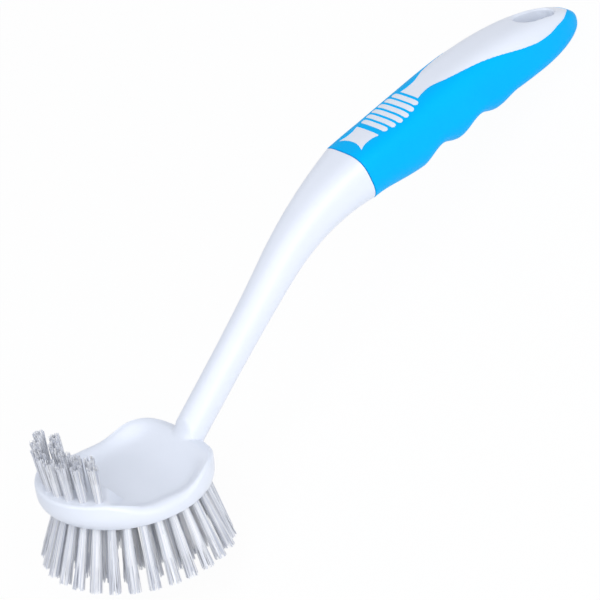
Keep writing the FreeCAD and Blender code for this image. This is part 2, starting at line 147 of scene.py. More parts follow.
def head_outline(turn, height, inset):
    """Point on the head's outline: an oval between the sole's and the rim's, drawn in by an inset.

    Its share of the way to the rim's oval is 1 - (1 - height / flare height) to the wall curve. The
    rim's heel half is fuller: a superellipse of radius (|cos|^n + |sin|^n) to the power -1/n.
    """
    part = 1 - (1 - np.clip(height / FLARE_HEIGHT, 0.0, 1.0)) ** WALL_CURVE
    cos, sin = np.cos(turn), np.sin(turn)
    half_length = mix(SOLE_HALF[0], np.where(cos > 0, HEEL_HALF_LENGTH, HEAD_HALF[0]), part) - inset
    half_width = mix(SOLE_HALF[1], HEAD_HALF[1], part) - inset
    power = mix(2.0, np.where(cos > 0, HEEL_FULLNESS, 2.0), part)
    radius = (np.abs(cos) ** power + np.abs(sin) ** power) ** (-1 / power)
    return mix(SOLE_CENTRE[0], 0.0, part) + half_length * radius * cos, half_width * radius * sin


def ring_quads(rows, columns):
    """Quads of a grid whose last column joins its first."""
    row, column = np.meshgrid(np.arange(rows - 1), np.arange(columns), indexing="ij")
    beside = (column + 1) % columns
    corners = [row * columns + column, (row + 1) * columns + column]
    corners += [(row + 1) * columns + beside, row * columns + beside]
    return np.stack(corners, axis=-1).reshape(-1, 4)


def closed_tube(points):
    """Points and faces of a ringed surface, with a flat face over its first and its last ring."""
    rows, columns = points.shape[:2]
    first = list(range(columns))
    last = list(range(rows * columns - 1, (rows - 1) * columns - 1, -1))
    return points.reshape(-1, 3), ring_quads(rows, columns).tolist() + [first, last]


head_turns = 2 * np.pi * np.arange(HEAD_COLUMNS) / HEAD_COLUMNS
rim_x, rim_y = head_outline(head_turns, FLARE_HEIGHT, 0.0)
rim_z = rim_level(rim_x, rim_y)
along_sides = ease(share(rim_x, *TOE_LIP_ENDS)) * (1 - ease(share(rim_x, *HEEL_LIP_STARTS)))
lip = mix(END_LIP, SIDE_LIP, along_sides)
lip_x, lip_y = head_outline(head_turns, rim_z, lip)
outwards = np.linspace(TOP_POLE, 1.0, TOP_ROWS)[:, None]
top_x, top_y = outwards * lip_x, outwards * lip_y
past_lip = (1 - outwards) * np.hypot(lip_x, lip_y)
head_top = np.stack([top_x, top_y, top_level(top_x, top_y, past_lip)], axis=-1)

roll = np.radians(np.linspace(0, 90, LIP_ROWS + 1))[1:, None]
roll_z = rim_z - LIP_FLATNESS * lip * (1 - np.cos(roll))
head_lip = np.stack([*head_outline(head_turns, roll_z, lip * (1 - np.sin(roll))), roll_z], axis=-1)

down_wall = np.linspace(0, 1, WALL_ROWS + 1)[1:, None]
wall_z = mix(rim_z - LIP_FLATNESS * lip, SOLE_EDGE_ROUNDING, down_wall)
head_wall = np.stack([*head_outline(head_turns, wall_z, 0.0), wall_z], axis=-1)

turn_in = np.radians(np.linspace(0, 90, FOOT_ROWS + 1))[1:, None]
turn_in_z = np.broadcast_to(SOLE_EDGE_ROUNDING * (1 - np.sin(turn_in)), (FOOT_ROWS, HEAD_COLUMNS))
turn_in_inset = SOLE_EDGE_ROUNDING * (1 - np.cos(turn_in))
head_foot = np.stack([*head_outline(head_turns, turn_in_z, turn_in_inset), turn_in_z], axis=-1)
underside_share = np.linspace(1, UNDERSIDE_POLE, UNDERSIDE_ROWS + 1)[1:, None, None]
head_underside = head_foot[-1:] * underside_share + SOLE_CENTRE * (1 - underside_share)

head_shell = closed_tube(np.concatenate([head_top, head_lip, head_wall, head_foot, head_underside]))

# Neck and handle core: the same white moulding, a round stem that leaves the head at 46 degrees,
# bends to 13 degrees and swells to a flat-crowned handle. The core shows through the openings of
# the soft grip, and a slot with round ends goes through it near its end to hang the brush up.
NECK_LENGTH, BEND_RADIUS, GRIP_ANGLE, GRIP_LENGTH = 71.9, 103.6, np.radians(13.0), 108.15
GRIP_START = NECK_LENGTH + BEND_RADIUS * (NECK_ANGLE - GRIP_ANGLE)
COLLAR = GRIP_START - 13.0
CORE_RECESS = 0.15
NECK_ROOT_RADIUS, NECK_SWELL = NECK_FACE_RADIUS + CORE_RECESS, 3.2
COLLAR_HALF_WIDTH, COLLAR_CROWN, COLLAR_BELLY = 12.6, 10.8, 12.0
GRIP_HALF_WIDTH, GRIP_CROWN, GRIP_FRONT_BELLY, GRIP_REAR_BELLY = 13.4, 16.5, 12.2, 9.0
WIDTH_ROUNDS_FROM, CROWN_ROUNDS_FROM, BELLY_ROUNDS_FROM = 60.0, 52.0, 80.0
NECK_ROUNDNESS, CROWN_FLATNESS, BELLY_ROUNDNESS = 2.0, 3.4, 2.2
FIRST_KNUCKLE, FINGER_PITCH, FINGER_COUNT, FINGER_DEPTH, LAST_FINGER_FALL = 13.9, 20.4, 3, 1.8, 2.3
COLLAR_GROOVE, COLLAR_GROOVE_DEPTH = 0.4, 1.8
HOLE_ALONG, HOLE_HALF_LENGTH, HOLE_HALF_WIDTH, HOLE_ROUNDING = 88.6, 9.0, 5.5, 1.0
GIRTH_PER_TURN = 14.0
OPENING_PASSES, OPENING_MARGIN, SLOT_END_POINTS = 6, 3.0, 40
CORE_COLUMNS, SLANTED_NECK, SLANTED_ROWS, NECK_ROWS = 168, 20.0, 16, 59
GROOVE_STOPS, GROOVE_END = np.array([0.02, 1.2, 1.4]), 1.3
HANDLE_FROM, HANDLE_TO, HANDLE_STEP = 2.5, 74.0, 1.3
HOLE_FROM, HOLE_TO, HOLE_STEP, CORE_SNAP = 74.5, 102.0, 0.5, 0.31
CORE_TIP_FROM, CORE_TIP_ROWS, LAST_TIP_TURN = 102.3, 20, 88.5


def handle_sizes(station, inset):
    """Half width, crown, belly and crown flatness of the handle at a distance along its path.

    The neck swells with a power of its share of the way to the collar. Behind the collar each size
    eases to the grip's own. The belly waves with the fingers as a cosine and eases down behind the
    last knuckle, and all the sizes close to the end as quarter ellipses.
    """
    swell = share(station, 0.0, COLLAR) ** NECK_SWELL
    along = station - GRIP_START
    front = ease(share(along, COLLAR - GRIP_START, FIRST_KNUCKLE))
    last_knuckle = FIRST_KNUCKLE + (FINGER_COUNT - 1) * FINGER_PITCH
    waved = np.clip(along, FIRST_KNUCKLE, last_knuckle) - FIRST_KNUCKLE
    past_last = share(along, last_knuckle, last_knuckle + FINGER_PITCH / 2)
    grip_belly = mix(GRIP_FRONT_BELLY, GRIP_REAR_BELLY, share(along, FIRST_KNUCKLE, last_knuckle))
    grip_belly = grip_belly + FINGER_DEPTH * np.cos(2 * np.pi * waved / FINGER_PITCH)
    grip_belly = grip_belly - LAST_FINGER_FALL * ease(past_last)
    to_crown = ease(share(along, COLLAR - GRIP_START, CROWN_ROUNDS_FROM))
    half_width = mix(mix(NECK_ROOT_RADIUS, COLLAR_HALF_WIDTH, swell), GRIP_HALF_WIDTH, front)
    crown = mix(mix(NECK_ROOT_RADIUS, COLLAR_CROWN, swell), GRIP_CROWN, to_crown)
    belly = mix(mix(NECK_ROOT_RADIUS, COLLAR_BELLY, swell), grip_belly, front)
    end = GRIP_LENGTH - inset
    starts = (WIDTH_ROUNDS_FROM, CROWN_ROUNDS_FROM, BELLY_ROUNDS_FROM)
    closing = [np.sqrt(1 - share(along, start, end) ** 2) for start in starts]
    sizes = [(size - inset) * close for size, close in zip((half_width, crown, belly), closing)]
    return *sizes, mix(NECK_ROUNDNESS, CROWN_FLATNESS, swell)


def on_handle(station, across, rise):
    """Brush point at a distance along the handle path, a distance across and a rise towards the crown.

    The path is a straight neck, an arc that turns it by the bend, and a straight grip.
    """
    angle = NECK_ANGLE - np.clip(station - NECK_LENGTH, 0.0, GRIP_START - NECK_LENGTH) / BEND_RADIUS
    neck, grip = np.minimum(station, NECK_LENGTH), np.maximum(station - GRIP_START, 0.0)
    x = NECK_ROOT[0] + neck * np.cos(NECK_ANGLE) + grip * np.cos(GRIP_ANGLE)
    z = NECK_ROOT[1] + neck * np.sin(NECK_ANGLE) + grip * np.sin(GRIP_ANGLE)
    x = x + BEND_RADIUS * (np.sin(NECK_ANGLE) - np.sin(angle)) - rise * np.sin(angle)
    z = z + BEND_RADIUS * (np.cos(angle) - np.cos(NECK_ANGLE)) + rise * np.cos(angle)
    return np.stack([x, across, z], axis=-1)


def across_and_rise(station, turn, inset):
    """Distance across the handle and rise towards its crown, at a station and a turn round it.

    A section is a superellipse, flat over the crown and rounder under the belly: at each turn its
    radius is (|cos|^n + |sin|^n) to the power -1/n, times the half width and the crown or belly.
    """
    cos, sin = np.cos(turn), np.sin(turn)
    half_width, crown, belly, flatness = handle_sizes(station, inset)
    power = np.where(sin > 0, flatness, BELLY_ROUNDNESS)
    radius = (np.abs(cos) ** power + np.abs(sin) ** power) ** (-1 / power)
    return half_width * radius * cos, radius * sin * np.where(sin > 0, crown, belly)


def ring_turns(columns):
    """Turns round a ring, from just under one side to just over it, running from crown to belly."""
    return np.pi - 2 * np.pi * (np.arange(columns) + 0.5) / columns


grip_origin = on_handle(np.array(GRIP_START), np.array(0.0), np.array(0.0))
grip_lengthwise = np.array([np.cos(GRIP_ANGLE), 0.0, np.sin(GRIP_ANGLE)])


def nearest_on(outline, spots):
    """Nearest point of a closed outline to each spot, and whether the spot lies inside.

    Each side of the outline gives the foot of its perpendicular, held to the side's ends. A spot
    is inside where a ray from it crosses an odd number of sides.
    """
    side = np.roll(outline, -1, axis=0) - outline
    reach = spots[:, None] - outline
    foot = outline + np.clip((reach * side).sum(-1) / (side ** 2).sum(-1), 0.0, 1.0)[..., None] * side
    nearest = np.hypot(*np.moveaxis(spots[:, None] - foot, -1, 0)).argmin(1)
    crossing = (reach[..., 1] < 0) != (reach[..., 1] < side[:, 1])
    ahead = reach[..., 0] < reach[..., 1] * side[:, 0] / np.where(side[:, 1] == 0, 1.0, side[:, 1])
    return foot[np.arange(len(spots)), nearest], (crossing & ahead).sum(1) % 2 == 1


def opening_on_grip(outline, up, inset):
    """Station, and turn as girth, of an outline cut square to the grip through its crown or belly."""
    station = outline[:, 0] + GRIP_START
    for _ in range(OPENING_PASSES):
        half_width, crown, belly, flatness = handle_sizes(station, inset)
        power, reach = (flatness, crown) if up > 0 else (BELLY_ROUNDNESS, belly)
        side = np.clip(outline[:, 1] / half_width, -1.0, 1.0)
        level = up * (1 - np.abs(side) ** power) ** (1 / power)
        spot = on_handle(station, outline[:, 1], reach * np.abs(level) * up)
        station = station + outline[:, 0] - (spot - grip_origin) @ grip_lengthwise
    return np.stack([station, GIRTH_PER_TURN * np.arctan2(level, side)], axis=-1)


def with_openings(station, turn, inset, openings, snap, rounding):
    """Points and faces of a ringed handle surface with openings in it.

    An opening is an outline, its side (1 crown, -1 belly) and the depth of its walls, or None for
    walls that go to the middle of the handle. Grid points near the outline move onto it, faces
    inside it are dropped, its rim sinks as a quarter circle, and walls go down from the rim. A point
    is marked 1 outside the openings, 0 on a rim and -1 inside.
    """
    rows, columns = station.shape
    station, turn, inset = station.ravel().copy(), turn.ravel().copy(), inset.ravel()
    where = np.ones(len(station), int)
    sunk, depths = np.zeros(len(station)), np.zeros(len(station))
    for outline, up, depth in openings:
        line = opening_on_grip(outline, up, inset[-1])
        spots = np.stack([station, GIRTH_PER_TURN * turn], axis=-1)
        around = (spots > line.min(0) - OPENING_MARGIN) & (spots < line.max(0) + OPENING_MARGIN)
        near = np.flatnonzero(np.all(around, axis=1))
        foot, inside = nearest_on(line, spots[near])
        gap = np.hypot(*(spots[near] - foot).T)
        on_rim = gap < snap
        where[near[inside]] = -1
        where[near[on_rim]] = 0
        station[near[on_rim]] = foot[on_rim, 0]
        turn[near[on_rim]] = foot[on_rim, 1] / GIRTH_PER_TURN
        from_rim = np.minimum(np.where(on_rim, 0.0, gap), rounding)
        sunk[near] = np.maximum(sunk[near], rounding - np.sqrt(rounding ** 2 - (rounding - from_rim) ** 2))
        depths[near[on_rim]] = np.inf if depth is None else depth
    quads = ring_quads(rows, columns)
    state = where[quads]
    inside, outside = (state < 0).any(1), (state > 0).any(1)
    whole, split = quads[outside & ~inside], inside & outside
    corner = np.argmax(state[split] > 0, axis=1)
    halves = np.take_along_axis(quads[split], (corner[:, None] + np.array([-1, 0, 1])) % 4, axis=1)
    edges = np.concatenate([
        np.stack([faces, np.roll(faces, -1, axis=1)], axis=-1).reshape(-1, 2) for faces in (whole, halves)
    ])
    edges = edges[(where[edges] == 0).all(1)]
    backwards = edges[:, 1] * len(station) + edges[:, 0]
    rim_edges = edges[~np.isin(backwards, edges[:, 0] * len(station) + edges[:, 1])]
    across, rise = across_and_rise(station, turn, inset + sunk)
    rim = np.unique(rim_edges)
    through = np.isinf(depths[rim])
    low_inset = inset[rim] + sunk[rim] + np.where(through, 0.0, depths[rim])
    low_across, low_rise = across_and_rise(station[rim], turn[rim], low_inset)
    low_across, low_rise = np.where(through, across[rim], low_across), np.where(through, 0.0, low_rise)
    below = on_handle(station[rim], low_across, low_rise)
    low = len(station) + np.searchsorted(rim, rim_edges)
    walls = np.stack([rim_edges[:, 1], rim_edges[:, 0], low[:, 0], low[:, 1]], axis=-1)
    caps = [list(range(columns)), list(range(len(station) - 1, len(station) - columns - 1, -1))]
    faces = whole.tolist() + halves.tolist() + walls.tolist() + caps
    return np.concatenate([on_handle(station, across, rise), below]), faces


def slot_outline(wall):
    """A slot with round ends round the hang hole, widened by a wall: two half circles and two lines."""
    turn = np.linspace(-np.pi / 2, np.pi / 2, SLOT_END_POINTS)
    radius, reach = HOLE_HALF_WIDTH + wall, HOLE_HALF_LENGTH - HOLE_HALF_WIDTH
    far = np.stack([HOLE_ALONG + reach + radius * np.cos(turn), radius * np.sin(turn)], axis=-1)
    near = np.stack([HOLE_ALONG - reach - radius * np.cos(turn), -radius * np.sin(turn)], axis=-1)
    return np.concatenate([far, near])


def tip_stops(start, end, count):
    """Stops that crowd together towards the closed end, as a sine does."""
    return mix(start, end, np.sin(np.radians(np.linspace(0, LAST_TIP_TURN, count))))


core_turns = ring_turns(CORE_COLUMNS)
core_end = GRIP_START + GRIP_LENGTH - CORE_RECESS
neck_face = NECK_FACE_X - NECK_ROOT[0] + NECK_FACE_RADIUS * np.sin(core_turns) * np.sin(NECK_ANGLE)
neck_stops = neck_face / np.cos(NECK_ANGLE) + np.linspace(0.0, SLANTED_NECK, SLANTED_ROWS)[:, None]
to_collar = np.linspace(0, 1, NECK_ROWS + 1)[1:, None]
neck_stops = np.concatenate([neck_stops, mix(neck_stops[-1], COLLAR, to_collar)])
handle_stops = np.concatenate([
    COLLAR + GROOVE_STOPS,
    np.arange(COLLAR + HANDLE_FROM, GRIP_START + HANDLE_TO, HANDLE_STEP),
    np.arange(GRIP_START + HOLE_FROM, GRIP_START + HOLE_TO, HOLE_STEP),
    tip_stops(GRIP_START + CORE_TIP_FROM, core_end, CORE_TIP_ROWS),
])
handle_stops = np.broadcast_to(handle_stops[:, None], (len(handle_stops), CORE_COLUMNS))
core_stops = np.concatenate([neck_stops, handle_stops])
core_insets = np.full(core_stops.shape, CORE_RECESS)
core_insets[(core_stops > COLLAR) & (core_stops < COLLAR + GROOVE_END)] = COLLAR_GROOVE_DEPTH
hole_openings = [(slot_outline(0.0), up, None) for up in (1, -1)]
core_grid = (core_stops, np.broadcast_to(core_turns, core_stops.shape), core_insets)
core_shell = with_openings(*core_grid, hole_openings, CORE_SNAP, HOLE_ROUNDING)

# Finish of the white moulding: polypropylene from a polished mould, a cool white with a soft gloss.
# The eye sees broad, faint clouding where the melt flowed, and in the highlights a waviness of the
# skin a few millimetres long.
SHARP_EDGE = np.radians(38)
MOULDING_TONES, FLOW_SIZE, MOULDING_GLOSS = ("#E3E8F1", "#EAEEF6"), 25.0, (0.26, 0.36)
RIPPLE_SIZE, RIPPLE_STRENGTH, RIPPLE_DEPTH = 4.0, 0.06, 0.0003
POLYPROPYLENE_IOR = 1.49


def joined(*shells):
    """Several shells as one list of points and one of faces."""
    bases = np.cumsum([0] + [len(points) for points, _ in shells]).tolist()
    faces = []
    for (_, group), base in zip(shells, bases):
        faces += [[corner + base for corner in face] for face in group]
    return np.concatenate([points for points, _ in shells]), faces


def moulded(name, shell, material):
    """A piece of the brush from brush points in mm and faces, smooth but for its sharp edges."""
    mesh = bpy.data.meshes.new(name)
    mesh.from_pydata(laid(shell[0]).tolist(), [], shell[1])
    mesh.shade_smooth()
    mesh.set_sharp_from_angle(angle=SHARP_EDGE)
    mesh.materials.append(material)
    piece = bpy.data.objects.new(name, mesh)
    bpy.context.scene.collection.objects.link(piece)
    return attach(piece, "root")


def linear(code):
    """Linear colour of an sRGB hex value: c / 12.92 up to 0.04045, ((c + 0.055) / 1.055)^2.4 above."""
    channel = np.array([int(code[i:i + 2], 16) for i in (1, 3, 5)]) / 255
    lit = np.where(channel <= 0.04045, channel / 12.92, ((channel + 0.055) / 1.055) ** 2.4)
    return (*lit.tolist(), 1.0)


def add_node(tree, kind, inputs, **settings):
    """Adds a node with its settings, and gives each input a value or a link from an output."""
    node = tree.nodes.new(kind)
    for name, value in settings.items():
        setattr(node, name, value)
    for name, value in inputs.items():
        if isinstance(value, bpy.types.NodeSocket):
            tree.links.new(value, node.inputs[name])
        else:
            node.inputs[name].default_value = value
    return node


def emptied(owner):
    """The node tree of a material or a world, switched on and cleared."""
    owner.use_nodes = True
    owner.node_tree.nodes.clear()
    return owner.node_tree


def clouds(tree, size, detail):
    """Noise from 0 to 1 in the object's own space, with clouds of a size in mm."""
    place = add_node(tree, "ShaderNodeTexCoord", {}).outputs["Object"]
    noise = {"Vector": place, "Scale": 1000 / size, "Detail": detail}
    return add_node(tree, "ShaderNodeTexNoise", noise).outputs["Fac"]


def toned(tree, part, tones):
    """A colour part of the way from one sRGB tone to another."""
    ends = {"Factor": part, "A": linear(tones[0]), "B": linear(tones[1])}
    return add_node(tree, "ShaderNodeMix", ends, data_type="RGBA").outputs["Result"]


def ranged(tree, part, ends):
    """A value part of the way from one end to another."""
    limits = {"Value": part, "To Min": ends[0], "To Max": ends[1]}
    return add_node(tree, "ShaderNodeMapRange", limits).outputs["Result"]


def relief(tree, height, strength, depth):
    """A normal that follows a height of a depth in m, at a strength."""
    bump = {"Height": height, "Strength": strength, "Distance": depth}
    return add_node(tree, "ShaderNodeBump", bump).outputs["Normal"]


def shown(tree, shader):
    """Gives a material's output the shader."""
    add_node(tree, "ShaderNodeOutputMaterial", {"Surface": shader})


polypropylene = bpy.data.materials.new("moulded_white_polypropylene")
tree = emptied(polypropylene)
flow = clouds(tree, FLOW_SIZE, 3.0)
ripple = clouds(tree, RIPPLE_SIZE, 2.0)
shown(tree, add_node(tree, "ShaderNodeBsdfPrincipled", {
    "Base Color": toned(tree, flow, MOULDING_TONES),
    "Roughness": ranged(tree, flow, MOULDING_GLOSS),
    "IOR": POLYPROPYLENE_IOR,
    "Normal": relief(tree, ripple, RIPPLE_STRENGTH, RIPPLE_DEPTH),
}).outputs["BSDF"])

body = moulded("white_moulding", joined(head_shell, core_shell), polypropylene)
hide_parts("brush_body")

# Soft grip: a sky-blue thermoplastic rubber skin, moulded over the handle core so that it grips it.
# It starts at a groove behind the neck, waves under the fingers, and leaves open on its crown a
# swallowtail mark, six bars and a long spade-shaped panel, and on its belly the hang hole's lining.
TAIL_START, TAIL_END, TAIL_HALF_WIDTH, TAIL_WAIST, TAIL_NOTCH = -9.5, -0.5, 6.7, 5.5, 1.6
BAR_COUNT, BAR_PITCH, BAR_WIDTH, FIRST_BAR, END_BAR_HALF, MIDDLE_BAR_HALF = 6, 3.3, 2.0, 3.2, 7.4, 8.9
PANEL_STOPS = np.array([22.2, 27.5, 36.0, 51.7, 71.0, 82.0, 91.0, 99.0, 104.6])
PANEL_HALF_WIDTHS = np.array([5.2, 4.4, 7.2, 10.1, 12.2, 11.5, 9.6, 6.4, 0.0])
HOLE_LINING = 2.0
SKIN_WALL, SKIN_ROUNDING, SKIN_SNAP = 0.9, 0.2, 0.27
BAR_END_POINTS, TAIL_END_POINTS, TAIL_SIDE_POINTS, PANEL_POINTS = 16, 30, 24, 260
SKIN_COLUMNS, SKIN_FROM, SKIN_TO, SKIN_STEP, SKIN_TIP_FROM, SKIN_TIP_ROWS = 216, 0.8, 101.0, 0.46, 101.3, 24
SKIN_EDGE_STOPS = np.array([0.0, 0.0, 0.08, 0.3])
SKIN_EDGE_INSETS = np.array([1.6, 0.3, 0.09, 0.0])


def bar_outline(middle, half_length):
    """A bar across the grip with round ends."""
    turn = np.linspace(0, np.pi, BAR_END_POINTS)
    radius = BAR_WIDTH / 2
    right = np.stack([middle + radius * np.cos(turn), half_length - radius + radius * np.sin(turn)], axis=-1)
    return np.concatenate([right, np.array([2 * middle, 0]) - right])


def bowed(start, end, bow, count):
    """A shallow bowed line: the straight line plus a parabola as high as the bow along its left."""
    part = np.linspace(0, 1, count, endpoint=False)[:, None]
    line = np.array(end) - np.array(start)
    left = np.array([-line[1], line[0]]) / np.hypot(*line)
    return np.array(start) + part * line + 4 * bow * part * (1 - part) * left


def tail_outline():
    """A short band with drawn-in sides, a straight rear edge and a notched front edge."""
    wide = TAIL_HALF_WIDTH
    return np.concatenate([
        bowed((TAIL_END, -wide), (TAIL_END, wide), 0.0, TAIL_END_POINTS),
        bowed((TAIL_END, wide), (TAIL_START, wide), wide - TAIL_WAIST, TAIL_SIDE_POINTS),
        bowed((TAIL_START, wide), (TAIL_START, -wide), TAIL_NOTCH, TAIL_END_POINTS),
        bowed((TAIL_START, -wide), (TAIL_END, -wide), wide - TAIL_WAIST, TAIL_SIDE_POINTS),
    ])


def smooth_through(stops, count):
    """Points of a smooth line through stops: each span is a Hermite cubic by chord length.

    An inner slope is the chord-weighted mean of the slopes beside it, and an end slope carries on
    the change of slope at the stop next to it.
    """
    chord = np.hypot(*np.diff(stops, axis=0).T)
    knots = np.concatenate([[0.0], np.cumsum(chord)])
    slope = np.diff(stops, axis=0) / chord[:, None]
    inner = (slope[:-1] * chord[1:, None] + slope[1:] * chord[:-1, None]) / (chord[:-1] + chord[1:])[:, None]
    slopes = np.concatenate([2 * slope[:1] - inner[:1], inner, 2 * slope[-1:] - inner[-1:]])
    t = np.linspace(0, knots[-1], count)
    span = np.clip(np.searchsorted(knots, t, side="right") - 1, 0, len(chord) - 1)
    p = ((t - knots[span]) / chord[span])[:, None]
    width = chord[span][:, None]
    rise_in = (2 * p ** 3 - 3 * p ** 2 + 1) * stops[span] + (p ** 3 - 2 * p ** 2 + p) * width * slopes[span]
    rise_out = (3 * p ** 2 - 2 * p ** 3) * stops[span + 1] + (p ** 3 - p ** 2) * width * slopes[span + 1]
    return rise_in + rise_out


right_side = np.stack([PANEL_STOPS, PANEL_HALF_WIDTHS], axis=-1)
around_tip = np.concatenate([right_side, right_side[-2::-1] * np.array([1, -1])])
panel_outline = smooth_through(around_tip, PANEL_POINTS)

from_middle = np.linspace(-1, 1, BAR_COUNT)
bar_halves = mix(MIDDLE_BAR_HALF, END_BAR_HALF, from_middle ** 2)
outlines = [tail_outline(), panel_outline]
outlines += [bar_outline(FIRST_BAR + i * BAR_PITCH, half) for i, half in enumerate(bar_halves)]
skin_openings = [(outline, 1, SKIN_WALL) for outline in outlines]
skin_openings.append((slot_outline(HOLE_LINING), -1, SKIN_WALL))

skin_front = COLLAR + COLLAR_GROOVE
skin_stops = np.concatenate([
    skin_front + SKIN_EDGE_STOPS,
    np.arange(skin_front + SKIN_FROM, GRIP_START + SKIN_TO, SKIN_STEP),
    tip_stops(GRIP_START + SKIN_TIP_FROM, GRIP_START + GRIP_LENGTH, SKIN_TIP_ROWS),
])
skin_insets = np.zeros(len(skin_stops))
skin_insets[:len(SKIN_EDGE_INSETS)] = SKIN_EDGE_INSETS
skin_grid = np.broadcast_arrays(skin_stops[:, None], ring_turns(SKIN_COLUMNS), skin_insets[:, None])
skin_shell = with_openings(*skin_grid, skin_openings, SKIN_SNAP, SKIN_ROUNDING)

# Finish of the soft grip: thermoplastic rubber from a finely etched mould, a clear sky blue with a
# satin sheen. The eye sees a soft broad highlight, broken by an even grain half a millimetre across.
RUBBER_TONES, RUBBER_CLOUD_SIZE, RUBBER_GLOSS = ("#00B2F4", "#00BAFC"), 18.0, (0.36, 0.46)
GRAIN_SIZE, GRAIN_STRENGTH, GRAIN_DEPTH = 0.5, 0.12, 0.0001
RUBBER_IOR, RUBBER_SHEEN = 1.5, 0.05

soft_rubber = bpy.data.materials.new("etched_blue_thermoplastic_rubber")
tree = emptied(soft_rubber)
colouring = clouds(tree, RUBBER_CLOUD_SIZE, 3.0)
grain = clouds(tree, GRAIN_SIZE, 1.0)
shown(tree, add_node(tree, "ShaderNodeBsdfPrincipled", {
    "Base Color": toned(tree, colouring, RUBBER_TONES),
    "Roughness": ranged(tree, colouring, RUBBER_GLOSS),
    "IOR": RUBBER_IOR,
    "Specular IOR Level": RUBBER_SHEEN,
    "Normal": relief(tree, grain, GRAIN_STRENGTH, GRAIN_DEPTH),
}).outputs["BSDF"])

grip = moulded("blue_soft_grip", skin_shell, soft_rubber)
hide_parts("soft_grip")

# Bristle tufts: bundles of white polypropylene filament, folded over a flat wire and driven into
# holes in the sole and the toe, then trimmed. Each bundle is tight in its hole and spreads to a
# ragged tip. The sole's outer rows lean outwards, less so at the heel.
TUFT_BASE_RADIUS, TOE_TIP_RADIUS, FILAMENT_RADIUS = 1.45, 2.0, 0.17
FILAMENTS, FILAMENT_SIDES, CORE_SIDES, FOOT_DEPTH = 72, 3, 12, 1.0
FILAMENT_STOPS = np.array([0.0, 0.35, 0.7, 1.0])
CORE_SHARE, CORE_SHADE = np.array([0.9, 0.9, 0.86, 0.4]), 0.85
SOLE_TUFT_LENGTH, TOE_TUFT_LENGTH, RAGGED, RAGGED_POWER = 24.65, 15.2, 1.8, 2.2
OUTSIDE_POWER, FLARE_POWER, STRAY, BOW = 0.15, 1.4, 0.14, 0.12
EDGE_LEAN, HEEL_LEAN, HEEL_TURN, TOE_LEAN, EDGE_INSET = 20.0, 6.0, 60.0, 6.0, 2.3
SOLE_ROWS = {
    "edge": (30, EDGE_INSET, 2.2),
    "middle": (18, 9.3, 2.9),
    "inner": (10, 16.2, 2.9),
    "centre": (4, 22.8, 2.9),
}
GROUPED_ROWS = ("middle", "inner")
TOE_ROWS = {"front": (8, 4.2, 43.5), "back": (6, 10.9, 36.0)}
FILAMENT_SEED = 41
filament_dice = np.random.default_rng(FILAMENT_SEED)


def tuft_stances(turns, leans, centre, half, up):
    """Foot, outward direction and axis of tufts round an oval, each leaning outwards from upright."""
    spot = np.stack([half[0] * np.cos(turns), half[1] * np.sin(turns), np.zeros_like(turns)], axis=-1)
    outward = spot / np.array([half[0] ** 2, half[1] ** 2, 1.0])
    outward /= np.linalg.norm(outward, axis=1, keepdims=True)
    axis = outward * np.sin(leans)[:, None] + np.array([0, 0, up]) * np.cos(leans)[:, None]
    return spot + centre, outward, axis


def tubes(stance, lateral, radius, turn, height, sides):
    """Points and faces of closed tubes, given in the stances of some tufts.

    A tube follows lateral offsets and heights along its tuft's axis. Its section is a polygon of
    the radius at each stop, with one flat side towards the turn.
    """
    feet, front, sideways, axis = (vector[:, None, None, None] for vector in stance)
    corner = turn[..., None] + 2 * np.pi * (np.arange(sides) + 0.5) / sides
    section = np.stack([np.cos(corner), np.sin(corner)], axis=-1)
    flat = lateral[:, :, :, None] + radius[:, None, None] * section[:, :, None]
    points = feet + flat[..., :1] * front + flat[..., 1:] * sideways + height[..., None, None] * axis
    rows, count = lateral.shape[2], lateral.shape[0] * lateral.shape[1]
    starts = np.arange(count)[:, None, None] * rows * sides
    feet_faces = (starts + np.arange(sides)).reshape(count, sides)
    end_faces = (starts + (rows * sides - 1 - np.arange(sides))).reshape(count, sides)
    side_faces = (starts + ring_quads(rows, sides)).reshape(-1, 4)
    return points.reshape(-1, 3), side_faces.tolist() + feet_faces.tolist() + end_faces.tolist()


